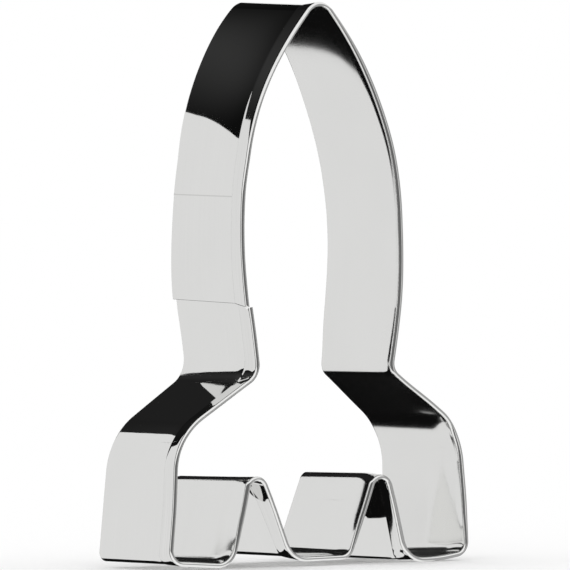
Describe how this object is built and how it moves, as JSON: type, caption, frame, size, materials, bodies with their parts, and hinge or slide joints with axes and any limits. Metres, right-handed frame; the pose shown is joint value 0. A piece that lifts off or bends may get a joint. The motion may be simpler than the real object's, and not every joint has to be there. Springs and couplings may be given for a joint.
{
  "type": "cookie cutter",
  "caption": "Rocket-shaped cookie cutter bent from a thin polished steel strip, with a folded hem to press on, a bare cutting edge behind and lapped, spot-welded ends.",
  "frame": {"origin": "under the middle of the part, at the lowest face of the feet", "axes": "+X across the rocket to its right seen from the hem, +Y from the hem to the cutting edge, +Z from the feet to the nose"},
  "size_m": [0.066, 0.022, 0.1],
  "materials": {
    "polished_steel": "mirror-polished sheet steel with faint rolling lines",
    "weld_steel": "dull fused steel"
  },
  "bodies": {
    "root": {"bent_strip": "polished_steel", "spot_weld_1": "weld_steel", "spot_weld_2": "weld_steel", "spot_weld_3": "weld_steel", "spot_weld_4": "weld_steel"}
  },
  "joints": []
}
